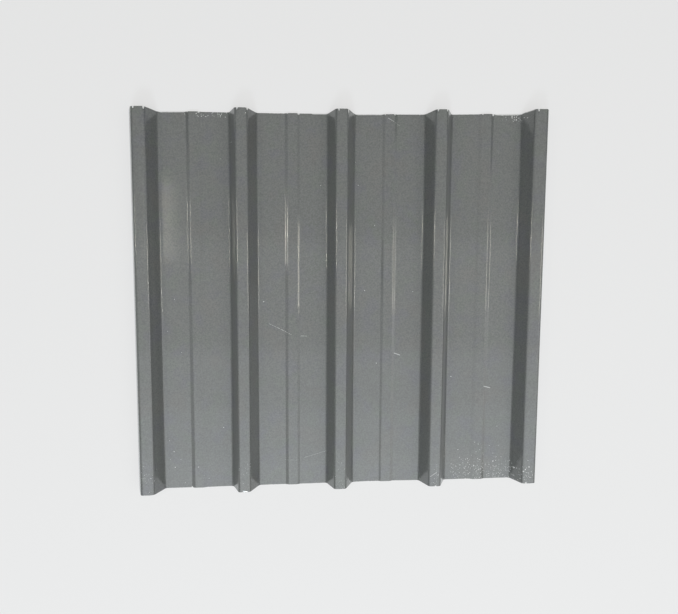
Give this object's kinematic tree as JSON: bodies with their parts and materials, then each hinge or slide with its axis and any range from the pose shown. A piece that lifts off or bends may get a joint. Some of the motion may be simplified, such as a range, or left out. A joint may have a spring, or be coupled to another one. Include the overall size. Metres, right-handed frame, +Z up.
{
  "type": "pvc tile roof sheet",
  "caption": "Cut length of grey PVC roof sheet: trapezoid ribs with flat pans between them, a low stiffening band along each pan, and saw-cut ends.",
  "frame": {"origin": "centre of the bounding box in X and Y, at the level the pans lie on", "axes": "+X across the ribs, +Y along the ribs, +Z up out of the face side"},
  "size_m": [0.8906, 0.832, 0.0345],
  "materials": {
    "sheet": "satin, finely embossed, weathered grey PVC"
  },
  "bodies": {
    "root": {"roof_sheet": "sheet"}
  },
  "joints": []
}
